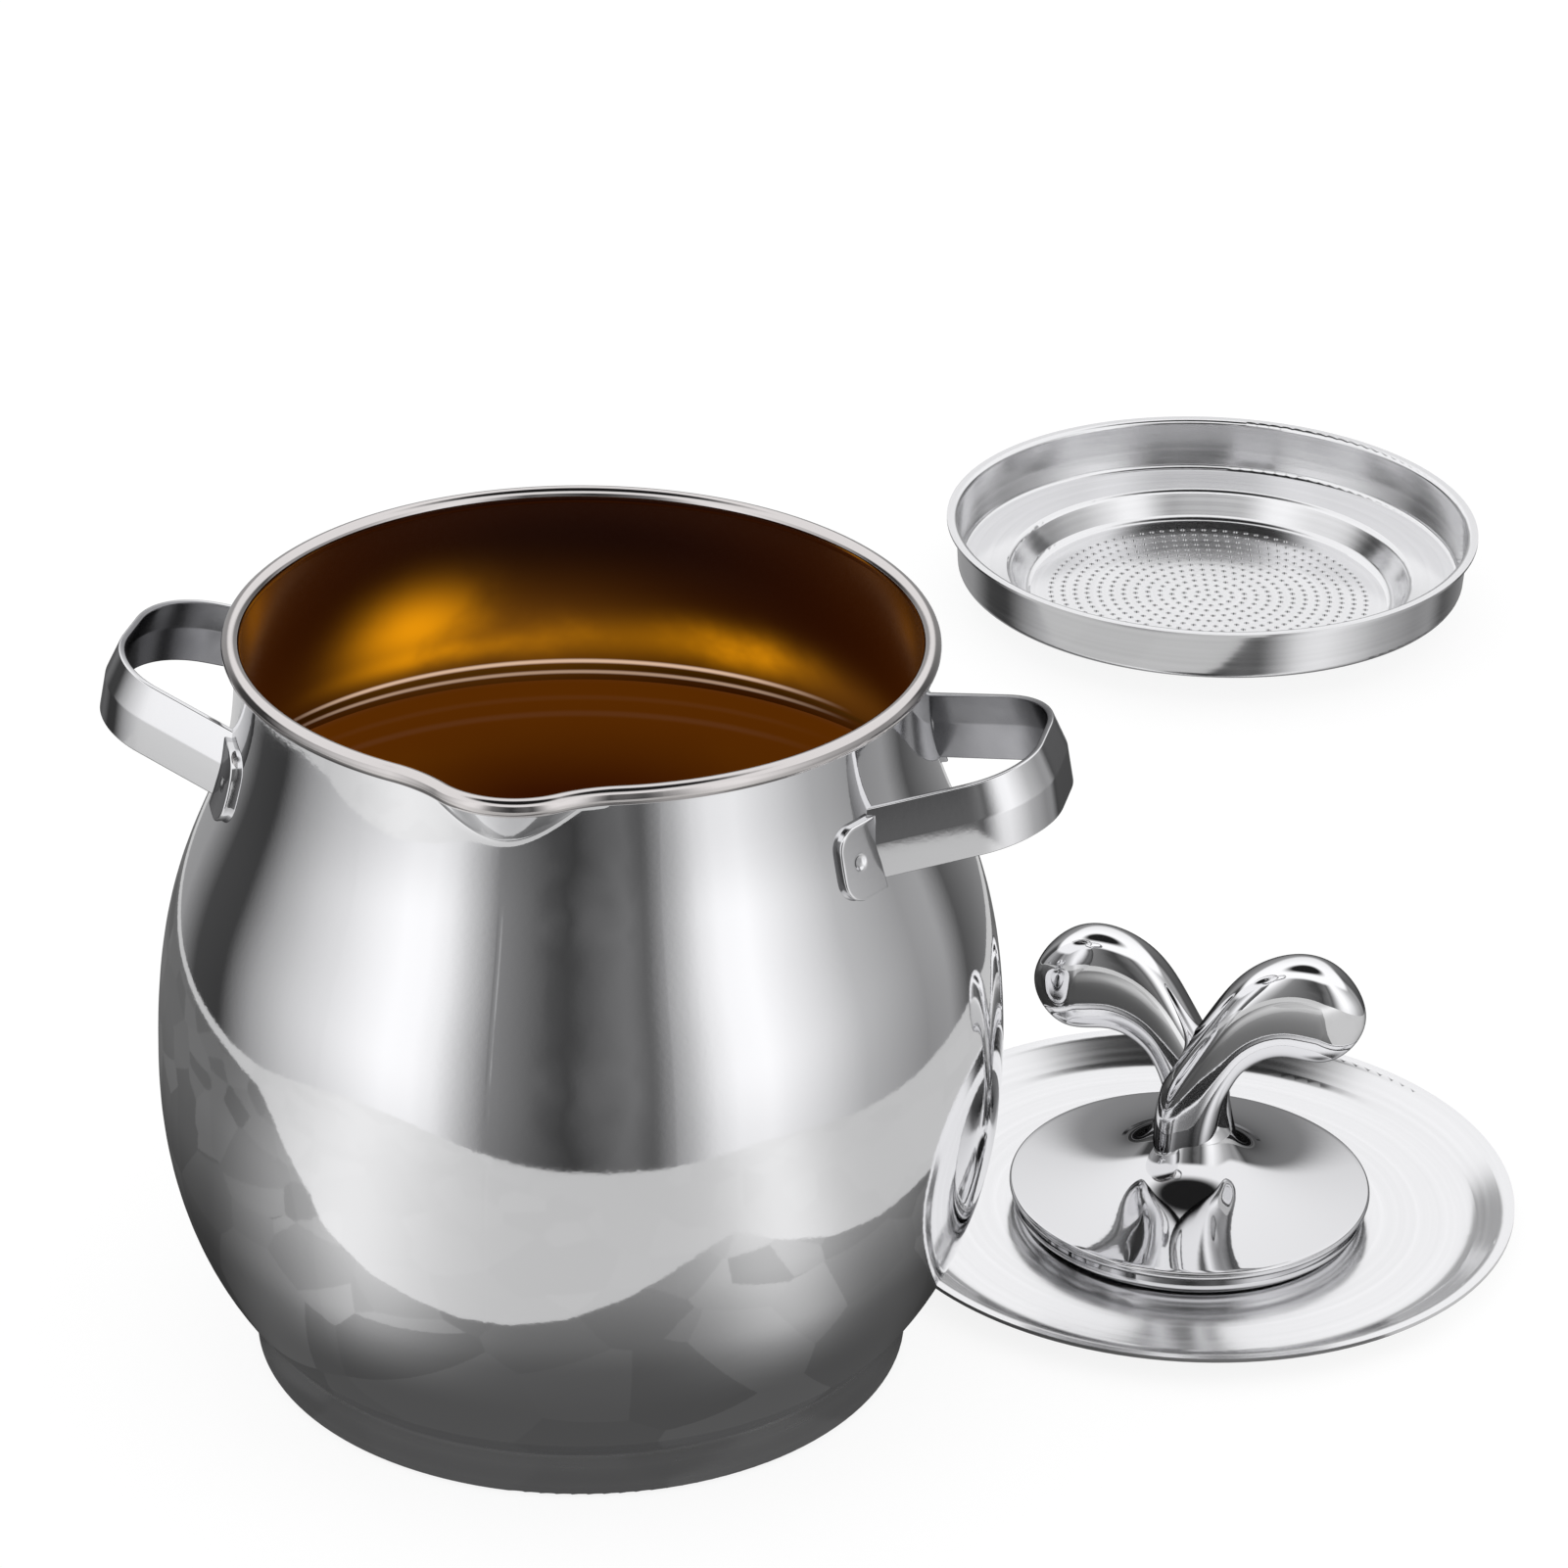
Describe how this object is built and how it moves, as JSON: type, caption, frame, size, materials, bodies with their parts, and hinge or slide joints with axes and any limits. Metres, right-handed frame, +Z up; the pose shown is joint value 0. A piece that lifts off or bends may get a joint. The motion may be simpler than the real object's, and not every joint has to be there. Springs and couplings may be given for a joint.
{
  "type": "grease container",
  "caption": "Pot-bellied polished steel grease container with pouring lip and strap handles, a drop-in perforated strainer and a dished lid with a leaf-shaped knob.",
  "frame": {"origin": "centre of the pot's foot, on the flat underside of the base cup", "axes": "+Z up along the pot's axis; the pouring lip faces -Y; the handles stand out within 3 degrees of +X and -X"},
  "size_m": [0.2626, 0.4929, 0.1458],
  "materials": {
    "polished_steel": "mirror-polished stainless steel",
    "brushed_steel": "finely brushed round the foot",
    "core_aluminium": "plain, shut in under the floor",
    "satin_steel": "satin stainless steel",
    "knob_chrome": "polished chrome plating on a zinc casting",
    "plain_steel": "plain machined steel"
  },
  "bodies": {
    "pot": {"pot_body": "polished_steel", "base_core": "core_aluminium", "base_cup": "brushed_steel", "handle_right": "polished_steel", "handle_left": "polished_steel"},
    "lid": {"lid_plate": "satin_steel", "knob": "knob_chrome", "knob_screw": "plain_steel", "screw_washer": "plain_steel"},
    "strainer": {"strainer_pan": "satin_steel"}
  },
  "joints": [
    {"name": "lid_lift", "type": "slide", "parent": "pot", "child": "lid", "axis": [0.4286, 0.2575, 0.866], "range_m": [0, 0.15]},
    {"name": "strainer_lift", "type": "slide", "parent": "pot", "child": "strainer", "axis": [0, 0, 1], "range_m": [0, 0.14]}
  ]
}
